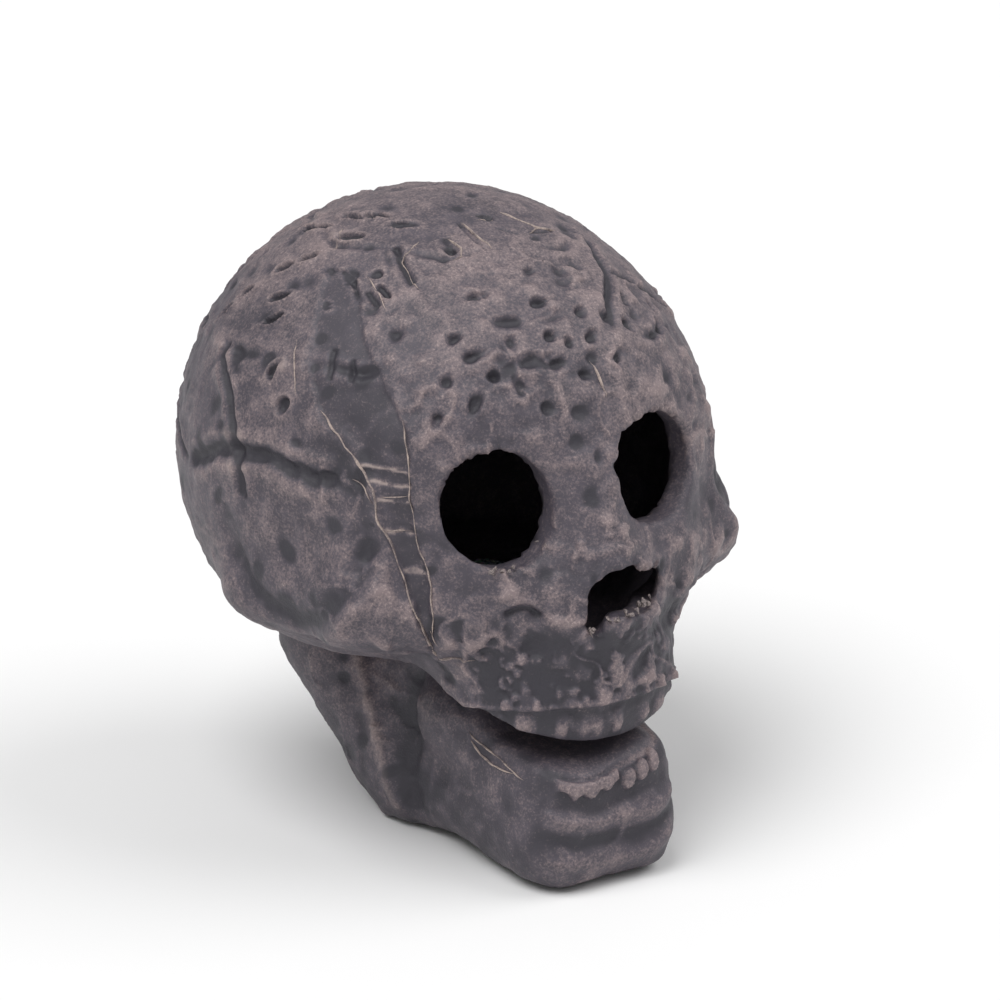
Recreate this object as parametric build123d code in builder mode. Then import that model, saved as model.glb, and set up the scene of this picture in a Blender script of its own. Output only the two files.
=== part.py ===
"""Aquarium bubbling ornament: a hollow fired-clay skull over a plug-in aerator.

Millimetres. +Z is up, the face looks along -Y, and the origin is the middle of
the footprint on the floor that the ornament stands on.
"""

import os
from collections import namedtuple

from build123d import *

# ---------------------------------------------------------------- skull sizes
SKULL_HEIGHT = 80.0  # floor to crown
SKULL_DEPTH = 76.0  # chin and nose to the back of the cranium
CRANIUM_RADIUS = 33.0
WALL = 3.0  # thickness of the fired clay
JAW_RIM = 4.6  # the clay is thicker along the front of the lower jaw

FRONT = -SKULL_DEPTH / 2
CRANIUM_Y = SKULL_DEPTH / 2 - CRANIUM_RADIUS
CRANIUM_Z = SKULL_HEIGHT - CRANIUM_RADIUS
FOREHEAD_RADIUS = 24.5
FOREHEAD_Y = -7.5
FOREHEAD_Z = 50.0

EYE_X = 11.6
EYE_Z = 48.8
EYE_RADIUS = 6.6
EYE_TALLNESS = 1.08  # height over width of an eye hole
EYE_TURN = 10.0  # degrees that each eye hole turns outwards
EYE_DEPTH = 24.0
EYE_SETBACK = 2.0  # the eye holes are cut from here, behind the chin and nose

NOSE_HALF_WIDTH = 5.0
NOSE_TOP_HALF_WIDTH = 2.4
NOSE_BASE_Z = 33.6
NOSE_TOP_Z = 40.8
NOSE_DEPTH = 9.0
NOSE_CORNER = 1.2

MOUTH_BACK_Y = -15.0
MOUTH_LEAD = 4.0  # the cutter starts this far in front of the face
LOWER_RIM_Z = 14.8  # lower jaw's rim at the front
LOWER_RIM_RISE = 0.25  # rise of that rim for each millimetre backwards
UPPER_EDGE_Z = 19.4  # lower edge of the upper teeth
UPPER_EDGE_BACK_Y = -30.0
UPPER_EDGE_BACK_Z = 22.3

TOOTH_RADIUS = 1.2
TOOTH_PROUD = 0.5
UPPER_TEETH = 8
UPPER_TOOTH_PITCH = 2.5
UPPER_TOOTH_HEIGHT = 3.4
UPPER_TEETH_FRONT = -36.9
LOWER_TEETH = 6
LOWER_TOOTH_PITCH = 2.3
LOWER_TOOTH_HEIGHT = 2.8
LOWER_TEETH_FRONT = -37.5
LOWER_TOOTH_DROP = 0.8  # from the front rim down to the teeth
ARCH_SQUARE = 0.02  # the dental arch recedes by this times x squared
ARCH_FOURTH = 0.0003  # plus this times x to the fourth

FaceSection = namedtuple("FaceSection", "z front front_half cheek_half cheek_y back_half")
FACE_SECTIONS = [
    FaceSection(26.0, -31.0, 10.0, 17.0, -20.0, 24.0),
    FaceSection(30.0, -36.0, 12.0, 22.5, -20.5, 28.5),
    FaceSection(36.0, -37.6, 12.5, 27.0, -21.5, 31.0),
    FaceSection(42.0, -37.6, 12.5, 25.6, -22.0, 31.0),
    FaceSection(49.0, -35.2, 12.0, 24.2, -22.5, 31.0),
    FaceSection(56.0, -31.6, 12.5, 22.8, -20.5, 29.5),
    FaceSection(63.0, -24.0, 11.0, 18.0, -15.0, 24.0),
]
MaxillaSection = namedtuple("MaxillaSection", "z front front_half back_half")
MAXILLA_SECTIONS = [
    MaxillaSection(12.0, -34.8, 8.6, 10.5),
    MaxillaSection(17.0, -36.6, 10.0, 12.0),
    MaxillaSection(22.0, -37.5, 11.0, 13.4),
    MaxillaSection(28.0, -37.8, 11.6, 14.6),
    MaxillaSection(36.0, -37.0, 11.0, 15.0),
]
MandibleSection = namedtuple(
    "MandibleSection", "z front chin_half body_half ramus_half ramus_y back front_wall"
)
MANDIBLE_SECTIONS = [
    MandibleSection(0.0, -36.8, 7.6, 9.6, 12.6, -4.5, 8.0, WALL),
    MandibleSection(2.5, -37.8, 8.8, 10.8, 14.2, -3.0, 9.8, WALL),
    MandibleSection(7.0, -37.8, 9.2, 11.8, 15.8, 0.5, 12.2, JAW_RIM),
    MandibleSection(12.0, -37.4, 8.6, 11.2, 16.8, 4.5, 15.5, JAW_RIM),
    MandibleSection(18.0, -36.8, 8.2, 10.4, 18.4, 9.0, 20.5, JAW_RIM),
    MandibleSection(25.0, -35.0, 8.0, 11.0, 20.0, 12.0, 24.5, WALL),
    MandibleSection(32.0, -33.0, 8.0, 12.0, 20.5, 12.0, 25.0, WALL),
]
FACE_CORNER_SETBACK = 4.5  # from the middle of the face back to its corner
FACE_SIDE_Y = -2.0
FACE_REAR_Y = 16.0
FACE_END_Y = 19.0
MAXILLA_FRONT_SETBACK = 1.2
MAXILLA_CORNER_SETBACK = 5.5
MAXILLA_SIDE_Y = -22.0
MAXILLA_REAR_Y = -10.0
MAXILLA_END_Y = -6.0
MAXILLA_FRONT_SHARE = 0.62  # of the half width, where the front still runs flat
CHIN_SETBACK = 2.2
MANDIBLE_BODY_Y = -20.0
REAR_SHARE = 0.6  # of the half width, where each outline turns in at its rear
RAMUS_SHARE = 0.7  # the same for the lower jaw

# -------------------------------------------------------------- aerator sizes
AXIS_Y = -6.0  # the elbow, hose and air stone stand on this line
FIT = 0.05  # radial clearance of pieces pushed together
FOOT_HEIGHT = 2.2
FOOT_RADIUS = 2.0
FOOT_STEM_RADIUS = 1.2
FOOT_HEAD_RADIUS = 1.7
FOOT_HEAD_HEIGHT = 0.7
FOOT_PLACES = [(0.0, -29.6), (-4.0, -14.5), (4.0, -14.5), (0.0, 0.6)]
PLATE_THICKNESS = 2.2
PLATE_GAP = 0.6  # between the plate's edge and the clay
PLATE_LIP = 1.0
PLATE_LIP_HEIGHT = 0.8
SLOT_LENGTH = 6.4
SLOT_WIDTH = 1.8
SLOT_PITCH = 3.6
SLOTS = 3
SLOTS_Y = -22.0
SPIGOT_RADIUS = 2.5
SPIGOT_END_Z = 0.5
NUT_HEIGHT = 1.5
NUT_INRADIUS = 4.0
ELBOW_RADIUS = 4.0
ELBOW_HEIGHT = 6.4
AIRWAY_RADIUS = 1.0
INLET_Z = 8.0
INLET_ARM_RADIUS = 2.7
INLET_COLLAR_Y = 12.6
INLET_COLLAR_RADIUS = 3.3
INLET_COLLAR_THICKNESS = 1.0
INLET_LAND = 4.0  # plain length of the airline stub
INLET_LAND_RADIUS = 2.1  # a 4 mm airline stretches over it
INLET_CORE_RADIUS = 1.7
INLET_BARBS = 2
INLET_BARB_LENGTH = 4.6
NOTCH_CLEARANCE = 1.1
NOTCH_LEAD = 2.0  # the notch is cut from this far under the floor
HOSE_RADIUS = 3.0
HOSE_BORE_RADIUS = 2.0
HOSE_LENGTH = 7.4
NIPPLE_RADIUS = HOSE_BORE_RADIUS - FIT
NIPPLE_CORE_RADIUS = 1.65
NIPPLE_LENGTH = 3.5
NIPPLE_BARBS = 2
CAP_GAP = 0.3
CAP_RADIUS = 7.0
CAP_HEIGHT = 5.0
CAP_FLOOR = 1.5
CAP_EDGE = 0.6
STONE_RADIUS = 6.2
STONE_LENGTH = 11.5
STONE_EDGE = 0.7
STONE_HOLE_RADIUS = 1.2
STONE_HOLE_DEPTH = 7.0

PLATE_Z = FOOT_HEIGHT
PLATE_TOP_Z = PLATE_Z + PLATE_THICKNESS
ELBOW_TOP_Z = PLATE_TOP_Z + ELBOW_HEIGHT
CAP_Z = ELBOW_TOP_Z + HOSE_LENGTH + CAP_GAP
STONE_Z = CAP_Z + CAP_FLOOR


def both_sides(right):
    """Close a right-hand outline with its mirror image across the YZ plane."""
    return [*right, *[(-x, y) for x, y in reversed(right) if x > 0]]


def symmetric_loft(sections, outline, inset):
    """Loft through one closed horizontal outline for each section."""
    with BuildPart() as body:
        for section in sections:
            with BuildSketch(Plane.XY.offset(section.z)):
                with BuildLine():
                    Spline(*both_sides(outline(section, inset)), periodic=True)
                make_face()
        loft()
    return body.part


def face_outline(section, inset):
    """Right half of the brow, cheekbones and temples at one height."""
    return [
        (0, section.front + inset),
        (section.front_half - inset / 2, section.front + FACE_CORNER_SETBACK + inset),
        (section.cheek_half - inset, section.cheek_y + inset / 2),
        (section.back_half - inset, FACE_SIDE_Y),
        (section.back_half * REAR_SHARE, FACE_REAR_Y),
        (0, FACE_END_Y),
    ]


def maxilla_outline(section, inset):
    """Right half of the upper jaw at one height."""
    front_half = section.front_half * MAXILLA_FRONT_SHARE
    front_y = section.front + MAXILLA_FRONT_SETBACK
    corner_y = section.front + MAXILLA_CORNER_SETBACK
    return [
        (0, section.front + inset),
        (front_half - inset * 0.4, front_y + inset),
        (section.front_half - inset * 0.8, corner_y + inset * 0.6),
        (section.back_half - inset, MAXILLA_SIDE_Y),
        (section.back_half * REAR_SHARE - inset, MAXILLA_REAR_Y),
        (0, MAXILLA_END_Y),
    ]


def mandible_outline(section, inset):
    """Right half of the lower jaw and its rami at one height."""
    front_inset = inset * section.front_wall / WALL
    chin_y = section.front + CHIN_SETBACK
    rear_y = (section.ramus_y + 2 * section.back) / 3
    return [
        (0, section.front + front_inset),
        (section.chin_half - inset * 0.7, chin_y + front_inset * 0.8),
        (section.body_half - inset, MANDIBLE_BODY_Y),
        (section.ramus_half - inset, section.ramus_y - inset / 2),
        (section.ramus_half * RAMUS_SHARE - inset / 2, rear_y - inset),
        (0, section.back - inset),
    ]


def barbs(root, length, count, core_radius, ridge_radius):
    """Points (distance, radius) of barbs that taper from ridge to core."""
    step = length / count
    points = []
    for index in range(count):
        ridge = root + step * (index + 0.3)
        points += [(ridge, core_radius), (ridge, ridge_radius)]
        points.append((root + step * (index + 1), core_radius))
    return points


def tooth_places(count, pitch, front, z):
    """Centres of a row of teeth along the dental arch."""
    places = []
    for index in range(count):
        x = (index - (count - 1) / 2) * pitch
        recess = ARCH_SQUARE * x**2 + ARCH_FOURTH * x**4
        places.append((x, front + recess + TOOTH_RADIUS - TOOTH_PROUD, z))
    return places


# ----------------------------------------------------- skull: solids to join
face_outer = symmetric_loft(FACE_SECTIONS, face_outline, 0)
maxilla_outer = symmetric_loft(MAXILLA_SECTIONS, maxilla_outline, 0)
mandible_outer = symmetric_loft(MANDIBLE_SECTIONS, mandible_outline, 0)

# ------------------------------------------------- skull: hollows to take out
face_floor = FACE_SECTIONS[0]._replace(z=FACE_SECTIONS[0].z + WALL)
face_inner = symmetric_loft([face_floor, *FACE_SECTIONS[1:-1]], face_outline, WALL)
maxilla_inner = symmetric_loft(MAXILLA_SECTIONS[1:], maxilla_outline, WALL)
mandible_base = MANDIBLE_SECTIONS[0]._replace(z=-1.0)
mandible_inner = symmetric_loft(
    [mandible_base, *MANDIBLE_SECTIONS[1:]], mandible_outline, WALL
)

with BuildPart() as eye_holes:
    for side in (-1, 1):
        eye_plane = Plane(
            origin=(side * EYE_X, FRONT + EYE_SETBACK, EYE_Z),
            x_dir=(0, 0, 1),
            z_dir=Vector(0, 1, 0).rotate(Axis.Z, side * EYE_TURN),
        )
        with BuildSketch(eye_plane):
            Ellipse(EYE_RADIUS * EYE_TALLNESS, EYE_RADIUS)
        extrude(amount=EYE_DEPTH)

with BuildPart() as nose_hole:
    with BuildSketch(Plane.XZ.offset(-FRONT)):
        with BuildLine():
            Polyline(
                (-NOSE_HALF_WIDTH, NOSE_BASE_Z),
                (NOSE_HALF_WIDTH, NOSE_BASE_Z),
                (NOSE_TOP_HALF_WIDTH, NOSE_TOP_Z),
                (-NOSE_TOP_HALF_WIDTH, NOSE_TOP_Z),
                close=True,
            )
        nose_face = make_face()
        fillet(nose_face.vertices(), radius=NOSE_CORNER)
    extrude(amount=-NOSE_DEPTH)

with BuildPart() as mouth:
    with BuildSketch(Plane.YZ):
        with BuildLine():
            Polyline(
                (FRONT - MOUTH_LEAD, LOWER_RIM_Z - MOUTH_LEAD * LOWER_RIM_RISE),
                (MOUTH_BACK_Y, LOWER_RIM_Z + (MOUTH_BACK_Y - FRONT) * LOWER_RIM_RISE),
                (MOUTH_BACK_Y, UPPER_EDGE_BACK_Z),
                (UPPER_EDGE_BACK_Y, UPPER_EDGE_BACK_Z),
                (FRONT, UPPER_EDGE_Z),
                (FRONT - MOUTH_LEAD, UPPER_EDGE_Z),
                close=True,
            )
        make_face()
    extrude(amount=CRANIUM_RADIUS, both=True)

# arch over the inlet arm, open to the floor so that the skull lifts clear
with BuildPart() as airline_notch:
    with BuildSketch(Plane.XZ):
        with Locations((0, (INLET_Z - NOTCH_LEAD) / 2)):
            Rectangle(2 * (INLET_ARM_RADIUS + NOTCH_CLEARANCE), INLET_Z + NOTCH_LEAD)
        with Locations((0, INLET_Z)):
            Circle(INLET_ARM_RADIUS + NOTCH_CLEARANCE)
    extrude(amount=-CRANIUM_RADIUS)

# ---------------------------------------------------------------- skull shell
upper_teeth = tooth_places(
    UPPER_TEETH,
    UPPER_TOOTH_PITCH,
    UPPER_TEETH_FRONT,
    UPPER_EDGE_Z + UPPER_TOOTH_HEIGHT / 2,
)
lower_teeth = tooth_places(
    LOWER_TEETH,
    LOWER_TOOTH_PITCH,
    LOWER_TEETH_FRONT,
    LOWER_RIM_Z - LOWER_TOOTH_DROP - LOWER_TOOTH_HEIGHT / 2,
)
with BuildPart() as skull_shell:
    with Locations((0, CRANIUM_Y, CRANIUM_Z)):
        Sphere(CRANIUM_RADIUS)
    with Locations((0, FOREHEAD_Y, FOREHEAD_Z)):
        Sphere(FOREHEAD_RADIUS)
    add(face_outer)
    add(maxilla_outer)
    add(mandible_outer)
    with Locations((0, CRANIUM_Y, CRANIUM_Z)):
        Sphere(CRANIUM_RADIUS - WALL, mode=Mode.SUBTRACT)
    with Locations((0, FOREHEAD_Y, FOREHEAD_Z)):
        Sphere(FOREHEAD_RADIUS - WALL, mode=Mode.SUBTRACT)
    add(face_inner, mode=Mode.SUBTRACT)
    add(maxilla_inner, mode=Mode.SUBTRACT)
    add(mandible_inner, mode=Mode.SUBTRACT)
    with Locations(*upper_teeth):
        Cylinder(TOOTH_RADIUS, UPPER_TOOTH_HEIGHT)
    with Locations(*lower_teeth):
        Cylinder(TOOTH_RADIUS, LOWER_TOOTH_HEIGHT)
    add(mouth.part, mode=Mode.SUBTRACT)
    add(eye_holes.part, mode=Mode.SUBTRACT)
    add(nose_hole.part, mode=Mode.SUBTRACT)
    add(airline_notch.part, mode=Mode.SUBTRACT)

# ----------------------------------------------------------------- base plate
plate_inset = WALL + PLATE_GAP
plate_edge = both_sides(mandible_outline(MANDIBLE_SECTIONS[0], plate_inset))
plate_pocket = both_sides(
    mandible_outline(MANDIBLE_SECTIONS[0], plate_inset + PLATE_LIP)
)
with BuildPart() as base_plate:
    with BuildSketch(Plane.XY.offset(PLATE_Z)):
        with BuildLine():
            Spline(*plate_edge, periodic=True)
        make_face()
    extrude(amount=PLATE_THICKNESS + PLATE_LIP_HEIGHT)
    with BuildSketch(Plane.XY.offset(PLATE_TOP_Z)):
        with BuildLine():
            Spline(*plate_pocket, periodic=True)
        make_face()
    extrude(amount=PLATE_LIP_HEIGHT, mode=Mode.SUBTRACT)
    with Locations((0, AXIS_Y, PLATE_TOP_Z)):
        Hole(SPIGOT_RADIUS + FIT)
    with Locations(*[(x, y, PLATE_TOP_Z) for x, y in FOOT_PLACES]):
        Hole(FOOT_STEM_RADIUS + FIT)
    with BuildSketch(Plane.XY.offset(PLATE_Z)):
        with Locations((0, SLOTS_Y)):
            with GridLocations(0, SLOT_PITCH, 1, SLOTS):
                SlotOverall(SLOT_LENGTH, SLOT_WIDTH)
    extrude(amount=PLATE_THICKNESS, mode=Mode.SUBTRACT)

# ------------------------------------------------------------------ foot pads
with BuildPart() as foot_pads:
    with Locations(*[(x, y, FOOT_HEIGHT / 2) for x, y in FOOT_PLACES]):
        Cylinder(FOOT_RADIUS, FOOT_HEIGHT)
    with Locations(*[(x, y, PLATE_Z) for x, y in FOOT_PLACES]):
        Cylinder(
            FOOT_STEM_RADIUS,
            PLATE_THICKNESS,
            align=(Align.CENTER, Align.CENTER, Align.MIN),
        )
    with Locations(*[(x, y, PLATE_TOP_Z) for x, y in FOOT_PLACES]):
        Cylinder(
            FOOT_HEAD_RADIUS,
            FOOT_HEAD_HEIGHT,
            align=(Align.CENTER, Align.CENTER, Align.MIN),
        )

# ---------------------------------------------------------------- inlet elbow
stub_y = INLET_COLLAR_Y + INLET_COLLAR_THICKNESS
land_end_y = stub_y + INLET_LAND
stub_end_y = land_end_y + INLET_BARB_LENGTH
with BuildPart() as inlet_elbow:
    with BuildSketch(Plane.XZ.offset(-AXIS_Y)):
        with BuildLine():
            Polyline(
                (0, SPIGOT_END_Z),
                (SPIGOT_RADIUS, SPIGOT_END_Z),
                (SPIGOT_RADIUS, PLATE_TOP_Z),
                (ELBOW_RADIUS, PLATE_TOP_Z),
                (ELBOW_RADIUS, ELBOW_TOP_Z),
                (NIPPLE_CORE_RADIUS, ELBOW_TOP_Z),
                *[
                    (radius, z)
                    for z, radius in barbs(
                        ELBOW_TOP_Z,
                        NIPPLE_LENGTH,
                        NIPPLE_BARBS,
                        NIPPLE_CORE_RADIUS,
                        NIPPLE_RADIUS,
                    )
                ],
                (0, ELBOW_TOP_Z + NIPPLE_LENGTH),
                close=True,
            )
        make_face()
    revolve(axis=Axis((0, AXIS_Y, 0), (0, 0, 1)))
    with BuildSketch(Plane.YZ):
        with BuildLine():
            Polyline(
                (AXIS_Y, INLET_Z),
                (AXIS_Y, INLET_Z + INLET_ARM_RADIUS),
                (INLET_COLLAR_Y, INLET_Z + INLET_ARM_RADIUS),
                (INLET_COLLAR_Y, INLET_Z + INLET_COLLAR_RADIUS),
                (stub_y, INLET_Z + INLET_COLLAR_RADIUS),
                (stub_y, INLET_Z + INLET_LAND_RADIUS),
                (land_end_y, INLET_Z + INLET_LAND_RADIUS),
                (land_end_y, INLET_Z + INLET_CORE_RADIUS),
                *[
                    (y, INLET_Z + radius)
                    for y, radius in barbs(
                        land_end_y,
                        INLET_BARB_LENGTH,
                        INLET_BARBS,
                        INLET_CORE_RADIUS,
                        INLET_LAND_RADIUS,
                    )
                ],
                (stub_end_y, INLET_Z),
                close=True,
            )
        make_face()
    revolve(axis=Axis((0, 0, INLET_Z), (0, 1, 0)))
    with BuildSketch(Plane.XZ.offset(-AXIS_Y)):
        with Locations((0, INLET_Z)):
            Circle(AIRWAY_RADIUS)
    extrude(amount=-(stub_end_y - AXIS_Y), mode=Mode.SUBTRACT)
    with BuildSketch(Plane.XY.offset(INLET_Z - AIRWAY_RADIUS)):
        with Locations((0, AXIS_Y)):
            Circle(AIRWAY_RADIUS)
    extrude(amount=ELBOW_TOP_Z + NIPPLE_LENGTH - INLET_Z + AIRWAY_RADIUS, mode=Mode.SUBTRACT)

# ------------------------------------------------------------------ elbow nut
with BuildPart() as elbow_nut:
    with BuildSketch(Plane.XY.offset(PLATE_Z - NUT_HEIGHT)):
        with Locations((0, AXIS_Y)):
            RegularPolygon(NUT_INRADIUS, 6, major_radius=False)
            Circle(SPIGOT_RADIUS + FIT, mode=Mode.SUBTRACT)
    extrude(amount=NUT_HEIGHT)

# --------------------------------------------------------------- inner hose
with BuildPart() as inner_air_tube:
    with BuildSketch(Plane.XY.offset(ELBOW_TOP_Z)):
        with Locations((0, AXIS_Y)):
            Circle(HOSE_RADIUS)
            Circle(HOSE_BORE_RADIUS, mode=Mode.SUBTRACT)
    extrude(amount=HOSE_LENGTH)

# ------------------------------------------------------------------ stone cap
with BuildPart() as stone_cap:
    with BuildSketch(Plane.XZ.offset(-AXIS_Y)):
        with BuildLine():
            Polyline(
                (AIRWAY_RADIUS, CAP_Z - NIPPLE_LENGTH),
                *[
                    (radius, 2 * CAP_Z - z)
                    for z, radius in reversed(
                        barbs(
                            CAP_Z,
                            NIPPLE_LENGTH,
                            NIPPLE_BARBS,
                            NIPPLE_CORE_RADIUS,
                            NIPPLE_RADIUS,
                        )
                    )
                ],
                (NIPPLE_CORE_RADIUS, CAP_Z),
                (CAP_RADIUS - CAP_EDGE, CAP_Z),
                (CAP_RADIUS, CAP_Z + CAP_EDGE),
                (CAP_RADIUS, CAP_Z + CAP_HEIGHT),
                (STONE_RADIUS + FIT, CAP_Z + CAP_HEIGHT),
                (STONE_RADIUS + FIT, STONE_Z),
                (AIRWAY_RADIUS, STONE_Z),
                close=True,
            )
        make_face()
    revolve(axis=Axis((0, AXIS_Y, 0), (0, 0, 1)))

# ------------------------------------------------------------------ air stone
with BuildPart() as air_stone:
    with BuildSketch(Plane.XY.offset(STONE_Z)):
        with Locations((0, AXIS_Y)):
            Circle(STONE_RADIUS)
    extrude(amount=STONE_LENGTH)
    chamfer(air_stone.faces().sort_by(Axis.Z)[-1].edges(), length=STONE_EDGE)
    with BuildSketch(Plane.XY.offset(STONE_Z)):
        with Locations((0, AXIS_Y)):
            Circle(STONE_HOLE_RADIUS)
    extrude(amount=STONE_HOLE_DEPTH, mode=Mode.SUBTRACT)

# --------------------------------------------------------------------- export
os.makedirs("parts", exist_ok=True)

skull_shell.part.label = "skull_shell"
export_step(skull_shell.part, "parts/skull_shell.step")
base_plate.part.label = "base_plate"
export_step(base_plate.part, "parts/base_plate.step")
foot_pads.part.label = "foot_pads"
export_step(foot_pads.part, "parts/foot_pads.step")
inlet_elbow.part.label = "inlet_elbow"
export_step(inlet_elbow.part, "parts/inlet_elbow.step")
elbow_nut.part.label = "elbow_nut"
export_step(elbow_nut.part, "parts/elbow_nut.step")
inner_air_tube.part.label = "inner_air_tube"
export_step(inner_air_tube.part, "parts/inner_air_tube.step")
stone_cap.part.label = "stone_cap"
export_step(stone_cap.part, "parts/stone_cap.step")
air_stone.part.label = "air_stone"
export_step(air_stone.part, "parts/air_stone.step")
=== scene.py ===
"""Looks of the bubbling ornament: a smoke-fired clay skull over its plastic aerator.

Shapes are worked out in millimetres and written to meshes in metres. The skull is
sculpted as a distance field, meshed, split on its outside and again where its relief
is steep, and then pushed in and out along its normals by the marks of the mould and
of the hand. The skull's right side is at negative x, and its face looks along -y.
"""

import math

import bmesh
import bpy
import numpy as np
import openvdb
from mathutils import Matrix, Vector


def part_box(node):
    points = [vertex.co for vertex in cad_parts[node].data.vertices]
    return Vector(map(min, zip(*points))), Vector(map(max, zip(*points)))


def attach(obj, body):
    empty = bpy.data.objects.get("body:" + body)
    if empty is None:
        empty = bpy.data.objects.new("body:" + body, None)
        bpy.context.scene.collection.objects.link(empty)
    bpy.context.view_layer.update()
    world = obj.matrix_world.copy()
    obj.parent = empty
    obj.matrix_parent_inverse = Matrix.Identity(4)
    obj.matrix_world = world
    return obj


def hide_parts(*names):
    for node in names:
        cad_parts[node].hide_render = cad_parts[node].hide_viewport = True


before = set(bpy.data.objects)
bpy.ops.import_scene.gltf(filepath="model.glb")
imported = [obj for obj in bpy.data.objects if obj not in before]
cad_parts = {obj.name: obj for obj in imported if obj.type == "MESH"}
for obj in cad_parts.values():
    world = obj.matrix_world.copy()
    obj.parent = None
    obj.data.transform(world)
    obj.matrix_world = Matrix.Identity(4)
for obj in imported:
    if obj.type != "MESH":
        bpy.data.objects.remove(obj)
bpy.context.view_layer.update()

MM = 0.001
CENTRE = np.array((0.0, 5.0, 47.5))  # middle of the cranium; longitudes start at the face
CELL = 1.05  # size of the first mesh's faces
COARSE_STEP = 0.17  # rise within one face above which the face is split again
FIELD_LOW = (-36, -42, -3)
FIELD_HIGH = (36, 42, 83)

WALL = 3.2
JAW_BLEND = 2.0  # where the lower jaw runs into the cranium
HOLE_BLEND = 0.8  # rounding of the edges of the nose, the mouth and the opening below
RIM_BLEND = 0.6  # rounding of the eye holes and of the inner wall
HOLLOW_BASE_Z = 5.0  # below this the hollow runs straight down
STONE_Y = -6.0  # the air stone stands on this line
SHAFT_RADIUS = 8.0  # room round the stone's cap, which is 7 mm in radius
SHAFT_TOP_Z = 33
NOTCH_RADIUS = 3.9  # way out for the airline at the back
NOTCH_Z = 8
MOUTH_BACK_Y = -15

# centre, axis, radius and how far the circle is squeezed in height
RIGHT_EYE = ((-12.0, -24, 48.6), (0.08, -1, 0), 6.2, 0.85)
LEFT_EYE = ((7.8, -24, 50.6), (0.4, -1, 0), 7.9, 1.16)
EYE_REACH = 14

FAR = 99.0


# ------------------------------------------------------------ distance fields
def ellipsoid(p, centre, radii):
    """Nearly the distance to an ellipsoid."""
    q = (p - np.array(centre)) / np.array(radii)
    near = np.sqrt((q * q).sum(-1))
    steepness = np.sqrt(((q / np.array(radii)) ** 2).sum(-1)) + 1e-9
    return near * (near - 1) / steepness


def capsule(p, start, end, start_radius, end_radius):
    """A rod with round ends and a radius that changes along it."""
    start = np.array(start, float)
    way = np.array(end, float) - start
    t = np.clip(((p - start) @ way) / (way @ way), 0, 1)
    gap = np.linalg.norm(p - start - t[..., None] * way, axis=-1)
    return gap - (start_radius + (end_radius - start_radius) * t)


def rounded_box(p, centre, half, radius):
    """Distance to a box with rounded edges."""
    q = np.abs(p - np.array(centre)) - (np.array(half) - radius)
    outside = np.linalg.norm(np.maximum(q, 0), axis=-1)
    return outside + np.minimum(q.max(-1), 0) - radius


def join(a, b, blend):
    """Smooth union of two distances."""
    h = np.clip(0.5 + 0.5 * (b - a) / blend, 0, 1)
    return b * (1 - h) + a * h - blend * h * (1 - h)


def keep(a, b, blend):
    """Smooth intersection of two distances."""
    return -join(-a, -b, blend)


def upper_edge(y):
    """Height of the upper jaw's lower edge."""
    return 17.9 + 0.52 * np.clip(y + 37.5, 0, 8) + 0.14 * np.clip(y + 29.5, 0, 15)


def lower_rim(x, y):
    """Height of the lower jaw's outer rim, lowest a little to the right of its middle."""
    rise = 2.4 * (1 - np.exp(-(((x + 3.5) / 6.5) ** 2)))
    return 14.8 + rise + 0.12 * np.clip(y + 37.5, 0, FAR) + 0.7 * np.clip(y + 26, 0, FAR)


def mandible(q):
    """Lower jaw, its rami and the base of the cranium, for points with x made positive."""
    d = capsule(q, (5.5, -31, 6.5), (9, -6, 6.5), 6.2, 5)
    d = join(d, capsule(q, (9, -5, 4), (16, 9, 25), 4.5, 5), 6)
    d = join(d, capsule(q, (10.5, 1.5, 7), (15.3, 10.6, 20), 4.4, 4.3), 4)
    d = join(d, rounded_box(q, (0, -30, 9.2), (9.3, 8, 9.2), 4.2), 4)
    d = join(d, capsule(q, (4.0, -31, 12.5), (7.6, -16, 16.5), 5.9, 6), 3)
    d = join(d, ellipsoid(q, (0, -4, 13), (13, 13, 22)), 6)
    return join(d, capsule(q, (0, -24, 8), (0, 2, 8), 9, 9), 5)


def cranium(q):
    """Cranium, face and upper jaw, for points with x made positive."""
    d = ellipsoid(q, (0, 5, 47.3), (33.6, 33.4, 32.3))
    d = join(d, ellipsoid(q, (0, -10, 52), (25.0, 21.5, 20)), 8)  # forehead
    d = join(d, capsule(q, (18.6, -20, 54), (22.5, -18.5, 44), 3.4, 3.5), 5)  # eye's outer rim
    d = join(d, ellipsoid(q, (0, -18, 40), (21, 17, 16)), 7)  # face
    d = keep(d, -ellipsoid(q, (12.5, -40, 49), (9.5, 9.6, 9.5)), 4)  # orbits
    d = join(d, capsule(q, (0, -29.5, 51), (0, -36, 40), 1.9, 2.8), 5)  # bridge of the nose
    d = join(d, ellipsoid(q, (0, -31, 35), (8, 8, 7)), 5)
    d = join(d, capsule(q, (13, -26, 35), (23.5, -18.5, 36.5), 4.5, 4.5), 5)  # cheekbone
    d = join(d, capsule(q, (23.5, -18.5, 36.5), (28, 0, 34), 4.5, 4), 6)
    d = join(d, ellipsoid(q, (0, -24, 24), (15.2, 14.1, 14)), 5)  # upper jaw
    return keep(d, (upper_edge(q[..., 1]) - q[..., 2]) * 0.8, 1.5)


def mirrored(p, lowest=-FAR):
    """Points with x made positive; the middle of the face leans a little to one side."""
    x, y, z = p[..., 0], p[..., 1], p[..., 2]
    lean = 0.04 * x * np.clip((z - 24) / 8, 0, 1) * np.clip((52 - z) / 8, 0, 1)
    return np.stack((np.abs(x), y, np.maximum(z - lean, lowest)), -1)


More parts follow.
